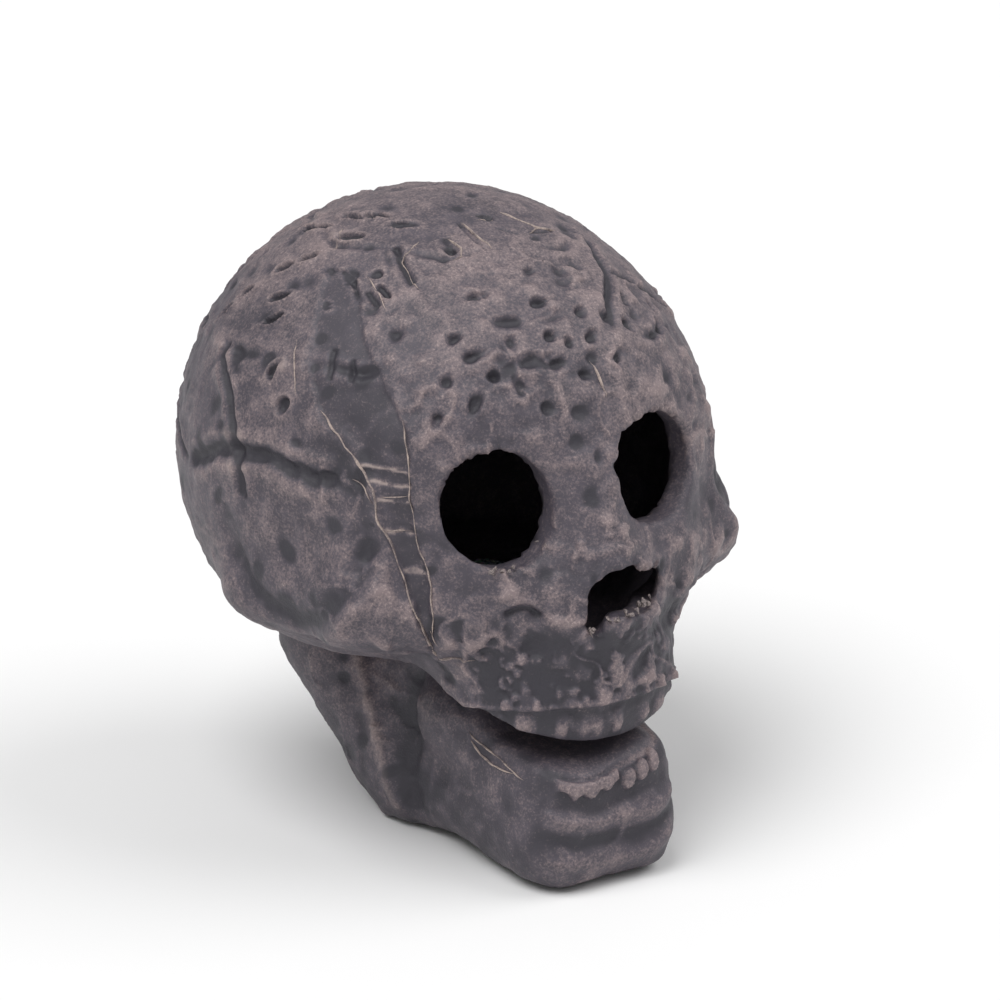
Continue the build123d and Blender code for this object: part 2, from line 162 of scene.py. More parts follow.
def outside(p):
    """Outer surface of the skull, before its holes."""
    q = mirrored(p)
    jaw = keep(mandible(q), -q[..., 2], 2)
    return join(cranium(q), jaw, JAW_BLEND)


def hollow(p):
    """Inner surface, with a shaft round the air stone; near the floor it runs straight down."""
    q = mirrored(p, HOLLOW_BASE_Z)
    inner = join(cranium(q), mandible(q), JAW_BLEND) + WALL
    shaft = np.hypot(q[..., 0], q[..., 1] - STONE_Y) - SHAFT_RADIUS
    return join(inner, np.maximum(shaft, q[..., 2] - SHAFT_TOP_Z), 1.5)


def eye_cylinder(p, centre, axis, radius, squeeze):
    """A lying cylinder; a squeeze above 1 makes it lower, and one below 1 makes it taller."""
    axis = np.array(axis, float) / np.linalg.norm(axis)
    v = p - np.array(centre)
    along = v @ axis
    across = v - along[..., None] * axis
    across[..., 2] *= squeeze
    return np.maximum(np.linalg.norm(across, axis=-1) - radius, np.abs(along) - EYE_REACH)


def holes(p, depth):
    """Eye holes, nose hole, mouth, bottom opening and notch, for points this deep in the clay."""
    x, y, z = p[..., 0], p[..., 1], p[..., 2]
    eyes = np.minimum(eye_cylinder(p, *RIGHT_EYE), eye_cylinder(p, *LEFT_EYE))
    slanted = np.stack((x - 0.5 * (y + 39), 0 * y, z), -1)
    nose = capsule(slanted, (-2.0, 0, 38.2), (3.7, 0, 37.4), 2.3, 2.5)
    nose = join(nose, capsule(slanted, (-0.6, 0, 39.1), (1.1, 0, 39.1), 2.3, 2.3), 0.8)
    nose = join(nose, capsule(slanted, (-2.4, 0, 38.0), (-3.7, 0, 35.0), 1.9, 1.4), 0.8)
    nose = np.maximum(nose, y + 26)
    upper = (z - upper_edge(y) - 0.2) * 0.8
    lower = (lower_rim(x, y) + 0.7 * np.clip(depth, 0, 3) - z) * 0.75
    mouth = np.maximum(np.maximum(upper, lower), y - MOUTH_BACK_Y)
    flat = np.stack((x, y, 0 * z), -1)
    opening = np.maximum(capsule(flat, (0, -27.4, 0), (0, -5, 0), 6.2, 9.9), z - NOTCH_Z)
    arch = np.hypot(x, np.maximum(z - NOTCH_Z, 0)) - NOTCH_RADIUS
    notch = np.maximum(arch, 2 - y)
    return eyes, nose, mouth, np.minimum(opening, notch)


def skull_field(p):
    """Distance to the whole clay wall."""
    skin = outside(p)
    d = keep(skin, -hollow(p), RIM_BLEND)
    eyes, *others = holes(p, -skin)
    d = keep(d, -eyes, RIM_BLEND)
    for hole in others:
        d = keep(d, -hole, HOLE_BLEND)
    return d


def slope(field, p, step=0.05):
    """Unit gradient of a distance field."""
    parts = []
    for axis in range(3):
        shift = np.zeros(3)
        shift[axis] = step
        parts.append(field(p + shift) - field(p - shift))
    g = np.stack(parts, -1)
    return g / (np.linalg.norm(g, axis=-1, keepdims=True) + 1e-12)


def settle(field, p, rounds=2):
    """Moves points onto the surface of a distance field."""
    for _ in range(rounds):
        p = p - slope(field, p) * np.clip(field(p), -1, 1)[..., None]
    return p


# --------------------------------------------------------------------- noises
def lattice(ix, iy, iz, seed):
    """Repeatable random numbers from 0 to 1 for whole-number places."""
    n = ix.astype(np.uint32) * np.uint32(73856093)
    n ^= iy.astype(np.uint32) * np.uint32(19349663)
    n ^= iz.astype(np.uint32) * np.uint32(83492791)
    n ^= np.uint32((seed * 2654435761) % 2**32)
    n = (n ^ (n >> np.uint32(13))) * np.uint32(1274126177)
    n ^= n >> np.uint32(16)
    return (n & np.uint32(0xFFFFF)) / float(0xFFFFF)


def noise(p, size, seed):
    """Smooth noise from 0 to 1 with lumps of the given size."""
    q = p / size + 1000
    base = np.floor(q).astype(np.int64)
    f = q - base
    f = f * f * (3 - 2 * f)
    total = 0
    for dx in (0, 1):
        for dy in (0, 1):
            for dz in (0, 1):
                weight = (
                    (f[:, 0] if dx else 1 - f[:, 0])
                    * (f[:, 1] if dy else 1 - f[:, 1])
                    * (f[:, 2] if dz else 1 - f[:, 2])
                )
                corner = lattice(base[:, 0] + dx, base[:, 1] + dy, base[:, 2] + dz, seed)
                total = total + weight * corner
    return total


def layers(p, size, seed, count=3):
    """Noise with finer and weaker layers added."""
    total = 0
    whole = 0
    for index in range(count):
        share = 0.5**index
        total = total + share * noise(p, size * share, seed + index)
        whole += share
    return total / whole


def smooth(value, low, high):
    """A soft step from 0 at low to 1 at high."""
    t = np.clip((value - low) / (high - low), 0, 1)
    return t * t * (3 - 2 * t)


def pits(p, spacing, radius, stretch, share, seed):
    """Scattered oval pits, 1 at their middles and 0 between them."""
    q = p / spacing + 1000
    base = np.floor(q).astype(np.int64)
    best = np.zeros(len(p))
    for dx in (-1, 0, 1):
        for dy in (-1, 0, 1):
            for dz in (-1, 0, 1):
                ix, iy, iz = base[:, 0] + dx, base[:, 1] + dy, base[:, 2] + dz
                draws = [lattice(ix, iy, iz, seed + k) for k in range(7)]
                centre = np.stack((ix + draws[0], iy + draws[1], iz + draws[2]), -1)
                v = (q - centre) * spacing
                turn = draws[3] * 2 * np.pi
                tilt = draws[4] * 2 - 1
                flat = np.sqrt(1 - tilt**2)
                axis = np.stack((np.cos(turn) * flat, np.sin(turn) * flat, tilt), -1)
                along = (v * axis).sum(-1, keepdims=True)
                v = v - axis * along * (1 - 1 / stretch)
                gap = np.linalg.norm(v, axis=-1) / (radius * (0.6 + 0.8 * draws[5]))
                cup = np.clip(1 - gap**2, 0, 1) ** 1.5
                best = np.maximum(best, cup * (draws[6] < share))
    return best


# -------------------------------------------------- places on the skull's skin
def angles(p):
    """Longitude and latitude in degrees; negative longitudes are on the skull's right."""
    v = p - CENTRE
    longitude = np.degrees(np.arctan2(v[:, 0], -v[:, 1]))
    latitude = np.degrees(np.arctan2(v[:, 2], np.hypot(v[:, 0], v[:, 1])))
    return longitude, latitude


def on_skin(places):
    """Points of the outer surface at (longitude, latitude) pairs."""
    a = np.radians(np.array(places, float))
    way = np.stack(
        (np.sin(a[:, 0]) * np.cos(a[:, 1]), -np.cos(a[:, 0]) * np.cos(a[:, 1]), np.sin(a[:, 1])),
        -1,
    )
    reach = np.full(len(way), 52.0)
    for _ in range(40):
        reach -= outside(CENTRE + way * reach[:, None]) * 0.8
    return CENTRE + way * reach[:, None]


def trace(places, step=1.2):
    """A fine line over the outer surface through (longitude, latitude) pairs."""
    corners = np.array(places, float)
    lengths = np.linalg.norm(np.diff(on_skin(corners), axis=0), axis=1)
    line = [corners[0]]
    for start, end, length in zip(corners[:-1], corners[1:], lengths):
        count = max(1, round(length / step))
        line += [start + (end - start) * (i + 1) / count for i in range(count)]
    return on_skin(line)


def through(points, step=1.0):
    """A fine line through points given in millimetres."""
    points = np.array(points, float)
    line = [points[0]]
    for start, end in zip(points[:-1], points[1:]):
        count = max(1, round(np.linalg.norm(end - start) / step))
        line += [start + (end - start) * (i + 1) / count for i in range(count)]
    return np.array(line)


def line_gap(p, line, reach=4.0):
    """Distance of each point to a line, and how far along it (0 to 1) it lies."""
    gap = np.full(len(p), FAR)
    share = np.zeros(len(p))
    near = np.all((p > line.min(0) - reach) & (p < line.max(0) + reach), axis=1)
    chosen = np.nonzero(near)[0]
    if len(chosen) == 0:
        return gap, share
    q = p[chosen]
    best = gap[chosen]
    where = share[chosen]
    count = len(line) - 1
    for index in range(count):
        way = line[index + 1] - line[index]
        t = np.clip(((q - line[index]) @ way) / (way @ way), 0, 1)
        d = np.linalg.norm(q - line[index] - t[:, None] * way, axis=1)
        closer = d < best
        best[closer] = d[closer]
        where[closer] = (index + t[closer]) / count
    gap[chosen] = best
    share[chosen] = where
    return gap, share


# -- marks read off the photograph, put on the skin with the fitted camera, and rounded
# lines are (longitude, latitude) in degrees
SUTURES = [
    # line, half width, depth, lip
    ([(-92, 30), (-92, 25), (-84, 19), (-79, 11), (-76, 3), (-75, -3)], 0.6, 0.55, 0.28),
    ([(-98, 0), (-94, 2), (-86, 6), (-80, 7.5), (-68, 8.5), (-56, 6), (-49, 7)], 0.95, 0.75, 0.34),
    ([(49, 55), (42, 52), (36, 49), (30, 44), (20, 39), (15, 33)], 0.55, 0.55, 0.22),
    ([(33, 45), (40, 41), (44, 37), (52, 30)], 0.5, 0.4, 0.18),
    ([(62, 34), (74, 24), (86, 22), (98, 10), (104, -4)], 0.6, 0.45, 0.22),
    ([(98, 10), (118, 18), (140, 16), (160, 26), (178, 30)], 0.6, 0.4, 0.2),
    ([(178, 30), (-160, 27), (-138, 20), (-118, 8), (-98, 0)], 0.6, 0.45, 0.22),
    ([(178, 30), (174, 48), (-178, 62), (-150, 76)], 0.5, 0.35, 0.18),
]
SCRATCHES = [
    ([(-48, 61), (-42, 54), (-37, 49)], 0.55, 0.5, 0.2),
    ([(-52, 59), (-46, 54)], 0.35, 0.3, 0.15),
    ([(-52, 47), (-46, 43)], 0.5, 0.4, 0.15),
    ([(-59, 50), (-52, 44)], 0.35, 0.3, 0.15),
    ([(-16, 70), (-13, 64), (-10, 58)], 0.3, 0.3, 0.2),
    ([(-26, 64), (-22, 58)], 0.6, 0.4, 0.2),
    ([(18, 62), (26, 61), (34, 60)], 0.25, 0.25, 0.1),
    ([(4, 66), (12, 62)], 0.25, 0.25, 0.1),
    ([(-56, 33), (-55, 26)], 0.4, 0.35, 0.1),
    ([(-50, 31), (-49.5, 26)], 0.35, 0.35, 0.1),
    ([(-63, 33), (-62, 27)], 0.3, 0.2, 0.1),
    ([(-2, 42), (4, 42)], 0.2, 0.2, 0.1),
    ([(-71, -33), (-66, -34), (-61, -37)], 0.3, 0.3, 0.15),
    ([(6, 27), (5, 22)], 0.25, -0.25, 0.0),
    ([(24, 48), (20, 44)], 0.25, -0.2, 0.0),
    ([(130, 40), (122, 34)], 0.4, 0.35, 0.15),
    ([(150, 52), (140, 47)], 0.5, 0.4, 0.15),
    ([(-130, 44), (-122, 38)], 0.5, 0.4, 0.15),
    ([(84, 50), (78, 44)], 0.5, 0.4, 0.15),
]
STAMPS = [
    # longitude, latitude, half length, half width, lean from the meridian in degrees
    (-91, 68, 1.9, 0.55, 75),
    (-74, 71, 1.7, 0.5, 80),
    (-51, 69, 1.6, 0.6, 85),
    (-104, 60, 1.8, 0.5, 70),
    (-97, 62, 1.5, 0.45, 65),
    (-74, 62, 1.7, 0.6, 70),
    (-84, 53, 1.4, 0.5, 50),
    (-91, 49, 1.5, 0.5, 45),
    (-83, 42, 1.3, 0.5, 60),
    (-80, 37, 1.6, 0.4, 55),
    (-64, 43, 0.8, 0.55, -40),
    (-60, 50, 1.3, 0.55, -60),
    (-51, 52, 0.8, 0.8, 0),
    (-46, 47, 1.3, 0.55, -50),
    (-24, 59, 1.0, 0.7, -30),
    (-100, 40, 1.4, 0.5, 40),
    (-104, 34, 1.3, 0.45, 35),
    (-72, 26, 1.2, 0.6, 35),
    (-66, 20, 1.0, 0.9, 20),
    (-12, 38, 1.9, 1.0, 80),
    (-3, 34, 0.9, 0.8, 0),
    (1, 32, 1.0, 0.7, 20),
    (9, 38, 1.1, 0.8, 40),
    (-9, 30, 1.1, 0.8, 60),
    (-3, 28, 1.3, 0.9, 80),
    (-13, 25, 1.5, 0.8, -15),
    (2, 25, 0.8, 0.8, 0),
    (7, 32, 1.3, 0.7, 45),
    (12, 27, 1.2, 0.6, 40),
    (15, 36, 0.8, 0.7, 0),
    (-22, 31, 1.5, 0.8, 70),
    (-18, 27, 0.8, 0.8, 0),
    (-26, 35, 1.1, 0.8, 50),
    (-28, 26, 1.2, 0.8, 30),
    (-22, 22, 1.6, 0.8, 40),
    (-30, 19, 1.0, 0.9, 0),
    (-18, 45, 1.5, 0.7, 80),
    (-2, 42, 0.9, 0.7, 90),
    (-8, 20, 1.0, 0.8, 20),
    (21, 33, 0.9, 0.7, 0),
    (27, 38, 0.9, 0.7, 30),
    (8, 32, 0.8, 0.6, 0),
    (33, 30, 1.2, 0.5, 30),
    (38, 34, 1.2, 0.5, 40),
]
# the scraped mould seam: its two sides, and the ledges between its stretches
BAND_LATITUDES = [-30, -22, -14, -6, 0, 6, 12, 18, 30, 36, 46, 52]
BAND_LEFT = [-30.2, -32, -35, -38, -41, -42, -47, -55, -62, -64, -68, -70]
BAND_RIGHT = [-30.0, -31, -31, -33, -34.5, -35, -35, -36, -44, -48, -54, -58]
BAND_LEDGES = [9.0, 6.3, 3.2, -2.6, -9.5]
BAND_LEVELS = [-0.05, -0.3, -0.12, -0.36, -0.2, -0.38]
SCRAPED_WAY = trace([(-62, 47), (-54, 58), (-34, 68), (-4, 76), (24, 66)], step=3)
TEMPLE = on_skin([(-62, -6), (62, -6)])
TEMPLE_RADIUS = 14.0
STAR_CHIP = on_skin([(5, 71)])[0]
PLATE_CHIP = on_skin([(25, 72), (19, 63), (34, 66)])

MARK_LINES = [(trace(line), *sizes) for line, *sizes in SUTURES + SCRATCHES]
BAND_EDGES = [
    trace([(-56, 20), (-47, 12), (-42, 6), (-41, 0), (-38, -6), (-35, -14), (-32, -22), (-30, -28)]),
    trace([(-37, 20), (-35.5, 12), (-35, 4), (-34, -4), (-32.5, -8), (-31, -12), (-31, -21)]),
]
CHEEK_LINE = trace([(-30, -28), (-28.5, -27), (-27, -26), (-25, -25.8), (-23, -25)])
RAMUS_RIDGE = through(
    [(-15, 0, 21), (-15, -3, 16), (-15.2, -6, 11.4), (-15.2, -8, 6.8), (-14.4, -9.3, 3.5)]
)
RAMUS_HOLLOW = through([(-11, -10, 20), (-12.6, -10.5, 15), (-14, -10.9, 9), (-13.8, -12, 5)])
UNDER_EYE = through(
    [(-11.9, -32.6, 36.3), (-10.8, -33.1, 37.0), (-9.6, -33.7, 36.9), (-8.8, -34.3, 36.1)]
)
UNDER_EYE_LIP = UNDER_EYE + np.array((0, -0.1, 0.9))
NOSE_RIM = through(
    [(-4.6, -37.8, 33.6), (-2.9, -38.8, 34.6), (-1.2, -39.4, 35.4), (2.7, -39, 35.7), (5.9, -37.2, 35.8)]
)
SNEER = through([(-14.5, -29, 32), (-12, -31.5, 31.4), (-9, -33.6, 31.6), (-6.5, -35.2, 32.4)])
BOTH_SIDES = (1, -1)
RIGHT_SIDE = (1,)
RIDGES = [
    # line, half width, height, and the sides of the skull that have it
    (RAMUS_RIDGE, 1.1, 0.6, BOTH_SIDES),
    (RAMUS_HOLLOW, 1.8, -0.9, BOTH_SIDES),
    (UNDER_EYE, 0.55, -0.55, RIGHT_SIDE),
    (UNDER_EYE_LIP, 0.5, 0.3, RIGHT_SIDE),
    (SNEER, 1.3, -0.5, BOTH_SIDES),
    (NOSE_RIM, 0.9, 0.4, RIGHT_SIDE),
]

UPPER_TOOTH_PITCH = 3.95
# place along the rim from the middle, half width, and depth of the middle below the rim
LOWER_TEETH = [(2.1, 0.95, 2.1), (4.0, 0.9, 1.8), (5.8, 0.8, 1.4)]


def oval_frames():
    """Middle, long axis and short axis of each stamped oval."""
    centres = on_skin([stamp[:2] for stamp in STAMPS])
    normals = slope(outside, centres)
    north = np.array((0, 0, 1)) - normals * normals[:, 2:]
    north /= np.linalg.norm(north, axis=1, keepdims=True)
    east = np.cross(north, normals)
    lean = np.radians([stamp[4] for stamp in STAMPS])[:, None]
    along = north * np.cos(lean) + east * np.sin(lean)
    return list(zip(centres, along, np.cross(along, normals)))


STAMP_FRAMES = oval_frames()


def ovals(p):
    """1 in the middle of each stamped oval and 0 outside it, and the ovals' rims."""
    inside = np.zeros(len(p))
    rim = np.zeros(len(p))
    wobble = 0.6 + 0.85 * noise(p, 1.2, 61)
    for stamp, (centre, along, across) in zip(STAMPS, STAMP_FRAMES):
        near = np.linalg.norm(p - centre, axis=1) < 2 * stamp[2] + 2
        v = p[near] - centre
        r = np.hypot(v @ along / stamp[2], v @ across / stamp[3]) * wobble[near]
        crisp = stamp[0] < -40
        inside[near] = np.maximum(inside[near], smooth(1.3 - r, 0.0, 0.6 if crisp else 1.0))
        ring = np.exp(-(((r - 1.5) / 0.3) ** 2))
        rim[near] = np.maximum(rim[near], ring * (1.0 if crisp else 0.3))
    return inside, rim


def teeth(p):
    """The two rows of teeth: their height, how pale they are, and the zone they stand in."""
    x, y, z = p.T
    front = smooth(-y, 22, 27)
    arc = np.sign(x) * np.hypot(x, (y + 38) * 0.9)
    above = z - upper_edge(y)
    ledge_at = np.interp(y, (-37.5, -30, -25), (6.6, 1.8, 0.2))
    ledge = smooth(above - ledge_at, -0.35, 0.05)
    upper_zone = (1 - ledge) * smooth(above, -1.2, -0.4) * front
    turn = (arc - 1.0 + 0.5 * np.sin(x)) * 2 * np.pi / UPPER_TOOTH_PITCH
    bump = smooth(np.cos(turn), -0.5, 0.8)
    upper = bump * np.exp(-(((above - 0.5 * ledge_at) / 1.2) ** 2)) * smooth(-y, 31, 34)
    lip = np.exp(-(((above - ledge_at - 0.25) / 0.35) ** 2)) * front
    height = upper_zone * (0.5 * upper - 0.45) + 0.2 * lip

    below = lower_rim(x, y) - z
    lower_zone = smooth(-y, 29, 32) * smooth(below, -0.6, 0.2) * (1 - smooth(below, 4.4, 5.6))
    lower_zone = lower_zone * (z < 19) * smooth(8.8 - np.abs(x), 0, 1.5)
    lower = np.zeros(len(p))
    for place, half_width, middle in LOWER_TEETH:
        oval = np.hypot((arc - place) / half_width, (below - middle) / 1.4)
        lower = np.maximum(lower, smooth(1.15 - oval, 0, 0.4))
    ragged = 2.2 + 0.35 * np.cos((x + 0.9) * 2 * np.pi / 2.5) + 0.9 * (noise(p, 1.5, 75) - 0.5)
    merged = smooth(0.9 - x, 0, 0.5) * smooth(x, -8.4, -7.0) * smooth(below, -0.2, 0.4)
    lower = np.maximum(lower, merged * smooth(ragged - below, 0, 0.5))
    rim = np.exp(-(((below - 0.15) / 0.3) ** 2)) * smooth(-y, 30, 33)
    height = height + lower_zone * (0.85 * lower - 0.5)
    pale = 1.1 * upper_zone * upper + lower_zone * lower + 0.9 * rim * smooth(x, -1, 2)
    return height, pale + 0.5 * lip, np.maximum(upper_zone, lower_zone)


def chin(p):
    """Level folds on the front of the lower jaw: their height, ridges and hollows."""
    x, y, z = p.T
    zone = smooth(-y, 29, 33.5) * smooth(12 - z, 0, 1) * smooth(10.5 - np.abs(x), 0, 2.5)
    wave = z + 1.2 * (noise(p, 3.0, 71) - 0.5) - 0.02 * x**2
    ridges = 0.55 * np.exp(-(((wave - 9.2) / 1.1) ** 2))
    ridges += 0.45 * np.exp(-(((wave - 3.6) / 1.1) ** 2))
    folds = 0.45 * np.exp(-(((wave - 6.6) / 0.9) ** 2))
    return zone * (ridges - folds), zone * ridges, zone * folds


def band(p, longitude, latitude):
    """The scraped mould seam down the right temple: its mask, height and pale edges."""
    left = np.interp(latitude, BAND_LATITUDES, BAND_LEFT)
    right = np.interp(latitude, BAND_LATITUDES, BAND_RIGHT)
    rough = 1.2 * (noise(p, 1.4, 81) - 0.5)
    inside = smooth(longitude + rough, left - 0.4, left + 0.7)
    inside *= smooth(right - longitude - rough, -0.4, 0.7)
    inside *= (latitude > -29) & (latitude < 52)
    level = np.full(len(p), BAND_LEVELS[0])
    bright = np.zeros(len(p))
    for ledge, height in zip(BAND_LEDGES, BAND_LEVELS[1:]):
        gap = ledge - latitude - 0.1 * (longitude + 38) + 0.7 * (noise(p, 1.1, 83) - 0.5)
        level += (height - level) * smooth(gap, -0.25, 0.25)
        bright = np.maximum(bright, np.exp(-(((gap + 0.45) / 0.35) ** 2)))
    tame = smooth(30 - latitude, -10, 12)
    return inside, level * tame, bright * inside


def relief(p):
    """Height of all the marks at outer points; at each point its wear with painted shade in the hollows,
    how pale it is (with a painted highlight on the temple crests), and how smooth.
    """
    x, y, z = p.T
    longitude, latitude = angles(p)
    face = smooth(-y, 16, 24) * smooth(46 - z, 0, 8) * smooth(z, 17, 22)
    brow = smooth(-y, 8, 20) * smooth(z, 44, 54)
    crown = smooth(z, 62, 72)
    side = smooth(np.abs(longitude), 38, 56) * (1 - crown) * smooth(-y, -20, -4)
    jaw = 1 - smooth(z, 16, 22)
    rear = smooth(y, 8, 22)

    seam, seam_level, seam_bright = band(p, longitude, latitude)
    scraped = np.exp(-((line_gap(p, SCRAPED_WAY, 9)[0] / 4.5) ** 2))
    calm = np.maximum(seam, 0.75 * scraped)
    tooth, tooth_pale, tooth_zone = teeth(p)
    fold, fold_pale, fold_dark = chin(p)
    edge = np.exp(-(((z - upper_edge(y)) / 1.2) ** 2)) * smooth(-y, 14, 18)
    edge = np.maximum(edge, np.exp(-(((z - lower_rim(x, y)) / 1.2) ** 2)) * smooth(-y, 14, 18))

    swell = layers(p, 9.0, 11, 2) - 0.5
    lumps = layers(p, 2.6, 17) - 0.5
    knobs = smooth(noise(p + 0.8 * noise(p, 2.2, 19)[:, None], 1.7, 18), 0.42, 0.85)
    grit = noise(p, 0.85, 23) - 0.5
    ridged = 1 - np.abs(2 * layers(p + 1.6 * noise(p, 5, 29)[:, None], 4.2, 31, 2) - 1) * 2.2
    veins = smooth(ridged, 0.66, 1.0) * smooth(noise(p, 3.6, 33), 0.3, 0.6)
    vein_size = 0.26 * face + 0.24 * brow + 0.08 * crown + 0.08 * side + 0.1 * jaw + 0.2 * rear
    pit = pits(p, 4.1, 1.2, 1.9, 0.62, 37)
    pit_size = 0.5 * brow + 0.3 * crown + 0.12 * side + 0.3 * face + 0.35 * rear + 0.1 * jaw
    muzzle = smooth(-y, 26, 31) * smooth(z, 20, 23) * smooth(35 - z, -3, 3)
    bridge = smooth(-y, 28, 31) * smooth(z, 35, 38) * smooth(50 - z, 0, 4) * smooth(9 - np.abs(x), 0, 3)
    warts = smooth(layers(p, 1.9, 47), 0.52, 0.7) * np.maximum(muzzle, 0.7 * bridge)
    height = 0.4 * swell + veins * vein_size - pit * pit_size + 0.5 * warts
    height += lumps * (0.26 + 0.35 * face + 0.2 * brow) + 0.12 * grit
    height += knobs * (0.1 + 0.18 * face + 0.16 * brow + 0.08 * rear)
    height *= 1 - 0.8 * edge

    stamped, rims = ovals(p)
    height -= 0.7 * stamped - 0.22 * rims * (1 - stamped)

    height *= 1 - 0.85 * calm
    height += seam * (seam_level - 0.25)
    pale = 0.35 * rims * (1 - stamped) + 0.8 * seam_bright
    # dark is painted shade, laid into the stamped ovals, the pits and the sunken seam here, and into the
    # grooves, hollows and chips below
    dark = 0.75 * stamped + 0.7 * pit * (pit_size > 0.1) + 0.12 * seam

    for line, half_width, depth, lip in MARK_LINES:
        gap, share = line_gap(p, line)
        gap = gap + 0.5 * half_width * (noise(p, 1.6, 41) - 0.5)
        ends = smooth(share, 0, 0.06) * smooth(1 - share, 0, 0.06)
        groove = ends * np.exp(-((gap / half_width) ** 2))
        height -= depth * groove
        shoulder = ends * np.exp(-(((gap - 2.1 * half_width) / half_width) ** 2))
        height += lip * shoulder
        pale += 0.9 * lip * shoulder
        # painted shade in the groove
        dark += 1.8 * max(depth, 0) * groove

    # temple discs: painted shade in the crescent hollow inside each rim, and a painted highlight along
    # the crest
    for place, strength in zip(TEMPLE, (1.0, 0.8)):
        gap = np.linalg.norm(p - place, axis=1) - TEMPLE_RADIUS
        forward = smooth(-(y - place[1]), -5, 6) * smooth(70 - z, 0, 20)
        lower = smooth(place[2] - z, -4, 8)
        crescent = np.exp(-(((gap + 2.4) / 1.7) ** 2)) * np.clip(forward * 0.7 + lower, 0, 1)
        crest = np.exp(-(((gap - 0.3) / 1.0) ** 2)) * forward
        here = strength * (np.sign(x) == np.sign(place[0])) * (z > 22)
        height += here * (0.55 * crest - 0.95 * crescent)
        pale += here * 0.2 * crest
        dark += here * 0.5 * crescent

    for line, width, size, sides in RIDGES:
        for mirror in sides:
            gap = line_gap(p * np.array((mirror, 1, 1)), line)[0]
            bump = np.exp(-((gap / width) ** 2)) * (0.7 + 0.6 * noise(p, 1.3, 77))
            height += size * bump
            pale += 0.7 * max(size, 0) * bump
            # painted shade in the hollows along these lines
            dark += 0.6 * max(-size, 0) * bump

    gap = np.linalg.norm(p - STAR_CHIP, axis=1)
    star = smooth(1.6 - gap - 1.2 * noise(p, 0.8, 51), 0, 0.6)
    height -= 0.6 * star
    # painted shade in the chip
    dark += 0.8 * star
    a, b, c = PLATE_CHIP
    chip = np.linalg.norm(p - (a + b + c) / 3, axis=1) + 1.5 * noise(p, 2.2, 53)
    plate = smooth(3.9 - chip, 0, 0.35)
    height -= 0.3 * plate

    quiet = np.maximum(0.85 * tooth_zone, smooth(np.abs(fold), 0.05, 0.3))
    height = height * (1 - 0.7 * quiet) + tooth + fold
    left_brow = smooth(x, -2, 10) * brow * smooth(60 - z, -12, 4)
    wear_and_shade = 0.14 + 0.42 * veins * (face + brow + 0.5) + 0.5 * lumps + 0.35 * swell
    wear_and_shade += knobs * (0.12 + 0.26 * face + 0.22 * brow)
    # lighter towards the crown and on the left brow, and darker towards the jaw
    wear_and_shade += 0.3 * crown + 0.07 * side + 0.22 * left_brow - 0.1 * jaw
    # painted shade on the muzzle, which faces a little downwards, and the face darker towards its lower
    # part; the warts are paler
    wear_and_shade += 0.8 * warts - 0.3 * muzzle - 0.1 * face * smooth(33 - z, -5, 6)
    wear_and_shade = wear_and_shade * (1 - 0.75 * calm) + 0.05 * calm
    wear_and_shade = wear_and_shade * (1 - 0.8 * tooth_zone) + 0.8 * tooth_pale + 0.75 * fold_pale
    # painted shade: the hollows' and the chin folds' shade is taken off here, and the zone of the teeth
    # is a little darker
    wear_and_shade += pale - dark - 0.7 * fold_dark - 0.1 * tooth_zone
    return height, np.clip(wear_and_shade, -0.3, 1.3), np.clip(pale, 0, 1), calm


# ------------------------------------------------------------- meshing helpers
def field_mesh(field, low, high, cell):
    """Quads of a distance field's zero surface."""
    axes = [np.arange(a, b + cell, cell) for a, b in zip(low, high)]
    grid = np.stack(np.meshgrid(*axes, indexing="ij"), -1)
    values = np.empty(grid.shape[:3], np.float32)
    for start in range(0, len(grid), 8):
        values[start : start + 8] = field(grid[start : start + 8])
    volume = openvdb.FloatGrid()
    volume.background = 3 * cell
    volume.copyFromArray(np.clip(values, -3 * cell, 3 * cell))
    points, quads = volume.convertToQuads()
    return points * cell + np.array(low), [tuple(quad) for quad in quads.tolist()]


def refine(points, faces, chosen):
    """Splits the chosen quads in four; their neighbours take the new points as corners."""
    middles = {}
    new_points = []
    first = len(points)

    def middle(a, b):
        key = (a, b) if a < b else (b, a)
        if key not in middles:
            middles[key] = first + len(new_points)
            new_points.append((points[a] + points[b]) / 2)
        return middles[key]

    split = []
    rest = []
    for face, wanted in zip(faces, chosen):
        if wanted and len(face) == 4:
            a, b, c, d = face
            ab, bc, cd, da = middle(a, b), middle(b, c), middle(c, d), middle(d, a)
            centre = first + len(new_points)
            new_points.append((points[a] + points[b] + points[c] + points[d]) / 4)
            split += [(a, ab, centre, da), (ab, b, bc, centre), (centre, bc, c, cd), (da, centre, cd, d)]
        else:
            rest.append(face)
    for face in rest:
        corners = []
        for a, b in zip(face, face[1:] + face[:1]):
            corners.append(a)
            key = (a, b) if a < b else (b, a)
            if key in middles:
                corners.append(middles[key])
        split.append(tuple(corners))
    return np.vstack((points, new_points)), split


def face_means(values, faces):
    """Mean of each face's corner values."""
    return np.array([sum(values[corner] for corner in face) / len(face) for face in faces])


def add_piece(name, points, faces, material, body, attributes=None):
    """Makes a piece from points in millimetres and hangs it on its body."""
    mesh = bpy.data.meshes.new(name)
    mesh.from_pydata((np.asarray(points) * MM).tolist(), [], faces)
    mesh.polygons.foreach_set("use_smooth", [True] * len(mesh.polygons))
    for key, values in (attributes or {}).items():
        layer = mesh.attributes.new(key, "FLOAT", "POINT")
        layer.data.foreach_set("value", np.asarray(values, np.float32))
    mesh.materials.append(material)
    mesh.update()
    piece = bpy.data.objects.new(name, mesh)
    bpy.context.scene.collection.objects.link(piece)
    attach(piece, body)
    return piece


# ------------------------------------------------------------- shader helpers
MIX_COLOUR_A = 6  # the Mix node's colour sockets share their names with its other kinds
MIX_COLOUR_B = 7
MIX_COLOUR_RESULT = 2


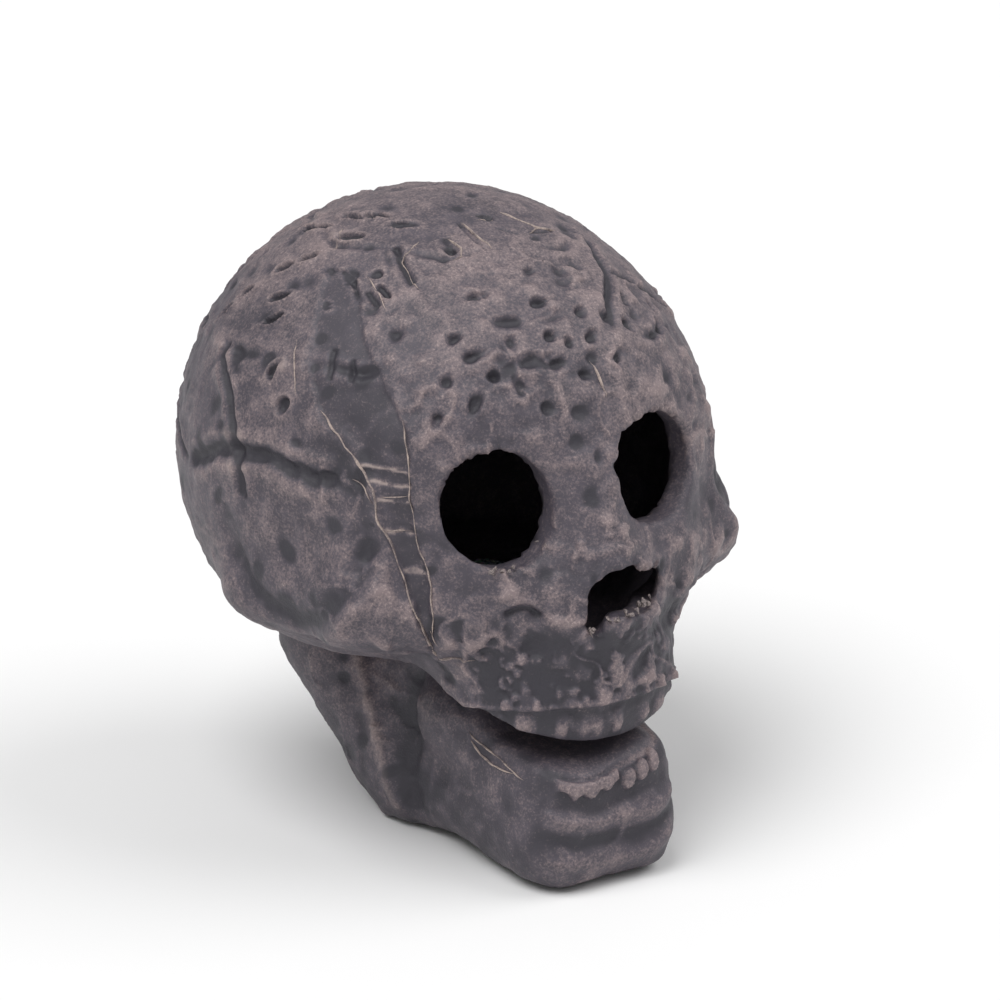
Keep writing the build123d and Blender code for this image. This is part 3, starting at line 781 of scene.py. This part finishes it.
class Shader:
    """A node tree under construction, with the object's coordinates in millimetres."""

    def __init__(self, name):
        self.material = bpy.data.materials.new(name)
        self.material.use_nodes = True
        self.tree = self.material.node_tree
        self.surface = self.tree.nodes["Principled BSDF"]
        place = self.tree.nodes.new("ShaderNodeTexCoord")
        scale = self.tree.nodes.new("ShaderNodeMapping")
        scale.inputs["Scale"].default_value = (1 / MM, 1 / MM, 1 / MM)
        self.tree.links.new(place.outputs["Object"], scale.inputs["Vector"])
        self.place = scale.outputs["Vector"]

    def put(self, value, socket):
        """Links a socket or sets a constant; None leaves the socket as it is."""
        if isinstance(value, bpy.types.NodeSocket):
            self.tree.links.new(value, socket)
        elif value is not None:
            socket.default_value = value

    def noise(self, size, detail=2.0, rough=0.5):
        node = self.tree.nodes.new("ShaderNodeTexNoise")
        node.inputs["Scale"].default_value = 1 / size
        node.inputs["Detail"].default_value = detail
        node.inputs["Roughness"].default_value = rough
        self.put(self.place, node.inputs["Vector"])
        return node.outputs["Fac"]

    def grains(self, size):
        node = self.tree.nodes.new("ShaderNodeTexVoronoi")
        node.inputs["Scale"].default_value = 1 / size
        self.put(self.place, node.inputs["Vector"])
        return node.outputs["Distance"], node.outputs["Color"]

    def attribute(self, name):
        node = self.tree.nodes.new("ShaderNodeAttribute")
        node.attribute_name = name
        return node.outputs["Fac"]

    def math(self, kind, a, b=None, c=None):
        node = self.tree.nodes.new("ShaderNodeMath")
        node.operation = kind
        for value, socket in zip((a, b, c), node.inputs):
            self.put(value, socket)
        return node.outputs["Value"]

    def step(self, value, low, high):
        node = self.tree.nodes.new("ShaderNodeMapRange")
        node.interpolation_type = "SMOOTHSTEP"
        node.inputs["From Min"].default_value = low
        node.inputs["From Max"].default_value = high
        self.put(value, node.inputs["Value"])
        return node.outputs["Result"]

    def mix(self, share, a, b):
        node = self.tree.nodes.new("ShaderNodeMix")
        node.data_type = "RGBA"
        self.put(share, node.inputs["Factor"])
        self.put(a, node.inputs[MIX_COLOUR_A])
        self.put(b, node.inputs[MIX_COLOUR_B])
        return node.outputs[MIX_COLOUR_RESULT]

    def bump(self, height, depth, strength=1.0):
        node = self.tree.nodes.new("ShaderNodeBump")
        node.inputs["Distance"].default_value = depth * MM
        self.put(strength, node.inputs["Strength"])
        self.put(height, node.inputs["Height"])
        return node.outputs["Normal"]

    def finish(self, **sockets):
        for name, value in sockets.items():
            self.put(value, self.surface.inputs[name.replace("_", " ")])
        return self.material


def rgb(red, green, blue):
    return (red, green, blue, 1.0)


DEEP_SLATE_AND_SHADE = rgb(0.034, 0.031, 0.041)
DARK_SLATE = rgb(0.056, 0.049, 0.064)
SLATE = rgb(0.073, 0.063, 0.081)
PALE_SLATE = rgb(0.086, 0.074, 0.093)
TAN = rgb(0.260, 0.200, 0.202)
BRIGHT_TAN = rgb(0.50, 0.40, 0.375)
CHALK_AND_HIGHLIGHT = rgb(0.42, 0.34, 0.31)


def clay_material():
    """Slate clay with tan dust on what stands up, most of it where the mesh's wear value is high, and
    deep slate as painted shade where it is low.
    """
    s = Shader("fired_clay")
    wear_and_shade = s.attribute("wear_and_shade")
    pale = s.attribute("pale")
    calm = s.attribute("calm")
    grain = s.noise(0.32, 3.0, 0.7)
    speck = s.noise(0.75, 4.0, 0.7)
    patch = s.noise(2.6, 3.0, 0.6)
    cloud = s.noise(12.0, 2.0)
    level = s.math("MULTIPLY_ADD", grain, 2.0, s.math("SUBTRACT", wear_and_shade, 1.8))
    level = s.math("MULTIPLY_ADD", speck, 1.1, level)
    level = s.math("MULTIPLY_ADD", patch, 0.5, level)
    dust = s.step(level, 0.0, 1.05)
    slate = s.mix(s.step(cloud, 0.3, 0.7), DARK_SLATE, SLATE)
    slate = s.mix(s.step(patch, 0.4, 0.7), slate, PALE_SLATE)
    # painted shade: where the value is low, in the hollows and on the muzzle, the slate turns deep
    slate = s.mix(s.step(wear_and_shade, -0.2, 0.22), DEEP_SLATE_AND_SHADE, slate)
    colour = s.mix(s.math("MULTIPLY", dust, 0.85), slate, TAN)
    bright = s.math("MULTIPLY", s.step(grain, 0.52, 0.68), s.step(level, 0.6, 1.3))
    colour = s.mix(s.math("MULTIPLY", bright, 0.5), colour, BRIGHT_TAN)
    # pale edges and rims, with a painted highlight on the temple crests
    edge = s.math("MULTIPLY", s.step(pale, 0.2, 0.9), 0.6)
    colour = s.mix(edge, colour, CHALK_AND_HIGHLIGHT)
    rough = s.math("MULTIPLY_ADD", grain, 0.22, 0.46)
    height = s.math("MULTIPLY_ADD", grain, 0.5, s.math("MULTIPLY", speck, 0.8))
    strength = s.math("MULTIPLY_ADD", calm, -0.45, 0.75)
    normal = s.bump(height, 0.16, strength)
    return s.finish(Base_Color=colour, Roughness=rough, Normal=normal)


def crumb_material():
    """Broken clay: dark lumps with pale fresh faces."""
    s = Shader("clay_crumb")
    grain = s.noise(0.18, 3.0, 0.6)
    colour = s.mix(s.step(grain, 0.35, 0.65), rgb(0.11, 0.092, 0.1), rgb(0.36, 0.3, 0.28))
    rough = s.math("MULTIPLY_ADD", grain, 0.2, 0.6)
    return s.finish(Base_Color=colour, Roughness=rough, Normal=s.bump(grain, 0.1))


def burr_material():
    """The pale flash left along the mould seam and the scratches."""
    s = Shader("pale_burr")
    grain = s.noise(0.25, 3.0, 0.6)
    patch = s.noise(1.4, 2.0)
    level = s.math("MULTIPLY_ADD", patch, 0.9, s.math("MULTIPLY", grain, 0.6))
    colour = s.mix(s.step(level, 0.5, 0.95), rgb(0.15, 0.12, 0.125), rgb(0.5, 0.4, 0.35))
    rough = s.math("MULTIPLY_ADD", grain, 0.2, 0.55)
    return s.finish(Base_Color=colour, Roughness=rough, Normal=s.bump(grain, 0.08))


def plastic_material(name, dark, light, texture, roughness):
    """Moulded plastic: spark-eroded texture, flow clouds and a little dust."""
    s = Shader(name)
    grain = s.noise(texture, 2.0, 0.6)
    cloud = s.noise(4.0, 2.0)
    dust = s.step(s.noise(0.7, 3.0, 0.7), 0.62, 0.75)
    colour = s.mix(s.step(cloud, 0.3, 0.7), dark, light)
    colour = s.mix(s.math("MULTIPLY", dust, 0.12), colour, rgb(0.45, 0.43, 0.4))
    rough = s.math("MULTIPLY_ADD", grain, 0.25, roughness)
    return s.finish(Base_Color=colour, Roughness=rough, Normal=s.bump(grain, 0.03, 0.8))


def silicone_material():
    """Milky silicone, partly see-through."""
    s = Shader("tube_silicone")
    cloud = s.noise(2.5, 2.0)
    grain = s.noise(0.12, 2.0)
    colour = s.mix(cloud, rgb(0.62, 0.68, 0.67), rgb(0.76, 0.8, 0.77))
    s.surface.inputs["Transmission Weight"].default_value = 0.55
    s.surface.inputs["IOR"].default_value = 1.41
    rough = s.math("MULTIPLY_ADD", grain, 0.15, 0.25)
    return s.finish(Base_Color=colour, Roughness=rough, Normal=s.bump(grain, 0.01, 0.6))


def stone_material():
    """Sintered grit: grains of slightly different greys with dark gaps between them."""
    s = Shader("stone_grit")
    gap, tint = s.grains(0.55)
    fine = s.noise(0.2, 3.0, 0.7)
    cloud = s.noise(5.0, 2.0)
    colour = s.mix(cloud, rgb(0.2, 0.25, 0.29), rgb(0.34, 0.39, 0.42))
    colour = s.mix(0.18, colour, tint)
    colour = s.mix(s.step(gap, 0.35, 0.7), colour, rgb(0.09, 0.11, 0.13))
    height = s.math("MULTIPLY_ADD", fine, 0.3, s.math("SUBTRACT", 1.0, gap))
    return s.finish(Base_Color=colour, Roughness=0.9, Normal=s.bump(height, 0.2))


CLAY = clay_material()
CRUMB = crumb_material()
BURR = burr_material()
STONE = stone_material()
MOULDED = {
    # node: material, dark and light colour, size of the texture's grain, least roughness
    "base_plate": ("plate_plastic", rgb(0.022, 0.022, 0.025), rgb(0.04, 0.04, 0.043), 0.16, 0.45),
    "foot_pads": ("foot_rubber", rgb(0.012, 0.012, 0.012), rgb(0.024, 0.023, 0.022), 0.1, 0.7),
    "inlet_elbow": ("elbow_plastic", rgb(0.05, 0.05, 0.055), rgb(0.075, 0.075, 0.08), 0.22, 0.3),
    "elbow_nut": ("nut_plastic", rgb(0.042, 0.042, 0.046), rgb(0.06, 0.06, 0.064), 0.22, 0.34),
    "stone_cap": ("cap_plastic", rgb(0.03, 0.12, 0.25), rgb(0.05, 0.17, 0.32), 0.2, 0.3),
}
NODE_MATERIALS = {node: plastic_material(*values) for node, values in MOULDED.items()}
NODE_MATERIALS["inner_air_tube"] = silicone_material()
for node, material in NODE_MATERIALS.items():
    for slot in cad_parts[node].material_slots:
        slot.material = material


# ------------------------------------------------------------------ the skull
def outer_share(points):
    """1 on the outer skin, falling to 0 on the cut edges and the inside."""
    return smooth(outside(points), -1.1, -0.25)


def build_skull():
    """Meshes the clay wall, and pushes its outer skin in and out by the relief."""
    points, faces = field_mesh(skull_field, FIELD_LOW, FIELD_HIGH, CELL)
    on_outside = face_means(outer_share(points), faces) > 0.02
    points, faces = refine(points, faces, on_outside)
    points = settle(skull_field, points)
    height = relief(points)[0] * outer_share(points)
    rough = np.array([max(height[c] for c in f) - min(height[c] for c in f) for f in faces])
    points, faces = refine(points, faces, rough > COARSE_STEP)
    points = settle(skull_field, points, 1)
    normals = slope(skull_field, points)
    share = outer_share(points)
    height, wear_and_shade, pale, calm = relief(points)
    inner_worn = 0.2 * noise(points, 6, 91) + 0.05
    marked = points + normals * (height * share)[:, None]
    marked[:, 2] = np.maximum(marked[:, 2], 0)
    attributes = {
        "wear_and_shade": wear_and_shade * share + inner_worn * (1 - share),
        "pale": pale * share,
        "calm": calm * share,
    }
    piece = add_piece("skull_casting", marked, faces, CLAY, "skull", attributes)
    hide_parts("skull_shell")


BURR_STEP = 0.5
SEAM_BURR_SIZE = (0.17, 0.26)  # half width and height
MARK_BURR_SIZE = (0.14, 0.2)
BURR_PLACES = [
    [(-48, 7), (-44, 5.5), (-42, 3)],
    [(-38, 63), (-43, 56), (-35.5, 47.5)],
    [(-14, 70), (-11, 65), (-7.5, 58)],
    [(-24, 64), (-19, 59), (-20, 56.5), (-24, 56)],
    [(22, 73), (28, 67), (30, 62)],
    [(18, 62), (26, 62.5), (36, 60)],
    [(-54, 51), (-47.5, 47), (-44, 42)],
    [(-68, 34), (-66, 30), (-63, 22)],
    [(-84, 64), (-78, 60), (-74, 56)],
    [(-3, 70), (8, 69)],
    [(-41, 4.4), (-35.5, 4.8)],
    [(-39.5, -2.4), (-34.6, -2)],
    [(5, 28), (5.2, 24), (6, 20)],
    [(-30, -23), (-31.5, -20)],
]
JAW_BURRS = [
    [(-11.7, -22.6, 17.6), (-11.1, -26.1, 16.3), (-10.5, -29.0, 15.7), (-10, -33.2, 14.5)],
    [(-11.7, -23, 17), (-11.5, -25.2, 15.4), (-11.1, -27.6, 14.7), (-10.4, -31.5, 14.7)],
]


def burr_sections(spots, normals, width, height, seed):
    """Four corners for each point of one thin raised burr with pointed ends."""
    forward = np.gradient(spots, axis=0)
    forward /= np.linalg.norm(forward, axis=1, keepdims=True) + 1e-9
    across = np.cross(forward, normals)
    size = noise(spots, 1.1, seed)[:, None]
    order = np.arange(len(spots))
    taper = np.clip(np.minimum(order, order[::-1]) / 2.5, 0.05, 1)[:, None]
    spots = spots + across * (noise(spots, 2.0, seed + 1)[:, None] - 0.5) * 0.5
    top = spots + normals * (height * taper * (0.3 + size))
    half = across * width * taper * (0.6 + 0.6 * size)
    root = spots - normals * 0.35
    corners = (root - half, top - half * 0.35, top + half * 0.35, root + half)
    return np.stack(corners, 1).reshape(-1, 3)


def build_burrs():
    """Thin raised burrs along the seam, the cheek, the marks and the jaw's rim."""
    wide = [through(line, BURR_STEP) for line in [*BAND_EDGES, CHEEK_LINE, *JAW_BURRS]]
    thin = [trace(places, BURR_STEP) for places in BURR_PLACES]
    lines = wide + thin
    spots = settle(outside, np.vstack(lines))
    normals = slope(outside, spots)
    spots = spots + normals * relief(spots)[0][:, None]
    points, faces = [], []
    start = 0
    for index, line in enumerate(lines):
        part = slice(start, start + len(line))
        sizes = SEAM_BURR_SIZE if index < len(wide) else MARK_BURR_SIZE
        points.append(burr_sections(spots[part], normals[part], *sizes, 200 + 2 * index))
        first, last = 4 * start, 4 * (start + len(line) - 1)
        for a in range(first, last, 4):
            faces += [(a + k, a + (k + 1) % 4, a + 4 + (k + 1) % 4, a + 4 + k) for k in range(4)]
        faces += [(first + 3, first + 2, first + 1, first), (last, last + 1, last + 2, last + 3)]
        start += len(line)
    add_piece("seam_burrs", np.vstack(points), faces, BURR, "skull")


CRUMB_HEAPS = [
    # place, size of a bit, number of bits
    ((-13.2, -31.4, 41.9), 0.5, 4),
    ((-11.6, -32.2, 41.7), 0.35, 3),
    ((-7.8, -33.0, 44.6), 0.35, 2),
    ((-3.4, -38.4, 34.5), 0.45, 4),
    ((-1.3, -39.2, 35.6), 0.5, 4),
    ((1.0, -39.2, 36.1), 0.5, 4),
    ((3.4, -38.5, 36.3), 0.5, 4),
    ((5.4, -37.2, 36.4), 0.4, 3),
]


def build_crumbs():
    """Broken bits of clay left under the eye hole and along the nose hole's edge."""
    rng = np.random.default_rng(5)
    whole = bmesh.new()
    for place, size, count in CRUMB_HEAPS:
        for _ in range(count):
            centre = np.array(place) + rng.normal(0, 0.55, 3) * (1.3, 0.6, 0.5)
            corners = centre + rng.normal(0, 1, (9, 3)) * size * rng.uniform(0.3, 0.75, 3)
            chip = bmesh.new()
            for corner in corners:
                chip.verts.new(corner)
            hull = bmesh.ops.convex_hull(chip, input=chip.verts)
            inner = {v for v in hull["geom_interior"] if isinstance(v, bmesh.types.BMVert)}
            bmesh.ops.delete(chip, geom=list(inner), context="VERTS")
            bmesh.ops.subdivide_edges(chip, edges=chip.edges, cuts=1, fractal=0.3, seed=len(whole.verts))
            mesh = bpy.data.meshes.new("chip")
            chip.to_mesh(mesh)
            chip.free()
            whole.from_mesh(mesh)
            bpy.data.meshes.remove(mesh)
    points = [tuple(v.co) for v in whole.verts]
    whole.verts.index_update()
    faces = [tuple(v.index for v in face.verts) for face in whole.faces]
    whole.free()
    add_piece("clay_crumbs", points, faces, CRUMB, "skull")


STONE_EDGE = 0.7  # the chamfer round the stone's top
STONE_IN_CAP = 3.7  # this far up the stone's side is smooth, because it sits in the cap
STONE_COLUMNS = 110
BASE_RINGS = 12
WALL_RINGS = 56
TOP_RINGS = 14


def build_air_stone():
    """The sintered stone, with its pressed grains standing out of the surface."""
    low, high = (np.array(corner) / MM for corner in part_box("air_stone"))
    axis = (low + high)[:2] / 2
    radius = (high - low)[0] / 2
    wall = high[2] - STONE_EDGE - low[2]
    profile = [(radius * k / BASE_RINGS, low[2]) for k in range(BASE_RINGS + 1)]
    profile += [(radius, low[2] + wall * k / WALL_RINGS) for k in range(1, WALL_RINGS + 1)]
    profile.append((radius - STONE_EDGE / 2, high[2] - STONE_EDGE / 2))
    profile.append((radius - STONE_EDGE, high[2]))
    for k in range(1, TOP_RINGS + 1):
        profile.append(((radius - STONE_EDGE) * (1 - k / TOP_RINGS), high[2]))
    around = STONE_COLUMNS
    points, faces = [], []
    for r, z in profile[1:-1]:
        for k in range(around):
            turn = 2 * math.pi * k / around
            points.append((axis[0] + r * math.cos(turn), axis[1] + r * math.sin(turn), z))
    count = len(profile) - 2
    for ring in range(count - 1):
        for k in range(around):
            a = ring * around + k
            b = ring * around + (k + 1) % around
            faces.append((a, b, b + around, a + around))
    points += [(*axis, low[2]), (*axis, high[2])]
    last = count * around
    top = last - around
    for k in range(around):
        faces.append((last, (k + 1) % around, k))
        faces.append((last + 1, top + k, top + (k + 1) % around))
    points = np.array(points)
    away = points - np.array((*axis, 0))
    away[:, 2] = 0
    away /= np.linalg.norm(away, axis=1, keepdims=True) + 1e-6
    bumps = layers(points, 0.75, 301, 2) - 0.75
    side = (points[:, 2] > low[2] + STONE_IN_CAP) * 1.0
    points = points + away * (0.3 * bumps * side)[:, None]
    upper = points[:, 2] > high[2] - 0.4
    points[upper, 2] += 0.25 * bumps[upper]
    piece = add_piece("grit_stone", points, faces, STONE, "diffuser")
    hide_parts("air_stone")


build_skull()
build_burrs()
build_crumbs()
build_air_stone()


# ------------------------------------------------------ floor, light and camera
def look_at(thing, place, target):
    """Puts a lamp or a camera in its place, turned towards the target."""
    thing.location = place
    thing.rotation_mode = "QUATERNION"
    thing.rotation_quaternion = (target - place).to_track_quat("-Z", "Y")
    bpy.context.scene.collection.objects.link(thing)


def direction(azimuth, elevation):
    """Unit vector; azimuth 0 is straight in front of the face."""
    a, e = math.radians(azimuth), math.radians(elevation)
    return Vector((math.sin(a) * math.cos(e), -math.cos(a) * math.cos(e), math.sin(e)))


def soft_light(name, azimuth, elevation, strength, spread):
    """A wide, far lamp, so that the whole floor is equally bright."""
    light = bpy.data.lights.new(name, "SUN")
    light.energy = strength
    light.angle = math.radians(spread)
    away = direction(azimuth, elevation)
    look_at(bpy.data.objects.new(name, light), away, Vector((0, 0, 0)))


FLOOR_HALF = 3  # metres
WORLD_STRENGTH = 0.42


def build_stage():
    """A pale paper floor, a white world and two soft lamps."""
    mesh = bpy.data.meshes.new("floor")
    corners = [(-1, -1), (1, -1), (1, 1), (-1, 1)]
    mesh.from_pydata([(FLOOR_HALF * x, FLOOR_HALF * y, 0) for x, y in corners], [], [(0, 1, 2, 3)])
    s = Shader("floor_paper")
    tone = s.mix(s.noise(90.0, 2.0), rgb(0.86, 0.86, 0.86), rgb(0.9, 0.9, 0.9))
    mesh.materials.append(s.finish(Base_Color=tone, Roughness=0.9))
    floor = bpy.data.objects.new("floor", mesh)
    bpy.context.scene.collection.objects.link(floor)

    world = bpy.data.worlds.new("studio")
    bpy.context.scene.world = world
    world.use_nodes = True
    background = world.node_tree.nodes["Background"]
    background.inputs["Color"].default_value = (1, 1, 1, 1)
    background.inputs["Strength"].default_value = WORLD_STRENGTH
    soft_light("key", azimuth=-72, elevation=62, strength=1.9, spread=40)
    soft_light("fill", azimuth=62, elevation=48, strength=1.0, spread=40)


CAMERA_TARGET = Vector((4.76, -2.86, 40)) * MM
CAMERA_AZIMUTH = -31
CAMERA_ELEVATION = 18
CAMERA_DISTANCE = 0.45  # metres
CAMERA_LENS = 125.5


def build_camera():
    """The photograph's view, fitted to the skull's outline."""
    data = bpy.data.cameras.new("camera")
    data.lens = CAMERA_LENS
    data.sensor_width = 36
    data.shift_y = -0.003
    data.clip_start = 0.01
    camera = bpy.data.objects.new("camera", data)
    away = direction(CAMERA_AZIMUTH, CAMERA_ELEVATION) * CAMERA_DISTANCE
    look_at(camera, CAMERA_TARGET + away, CAMERA_TARGET)
    bpy.context.scene.camera = camera


build_stage()
build_camera()
bpy.context.scene.view_settings.view_transform = "Standard"
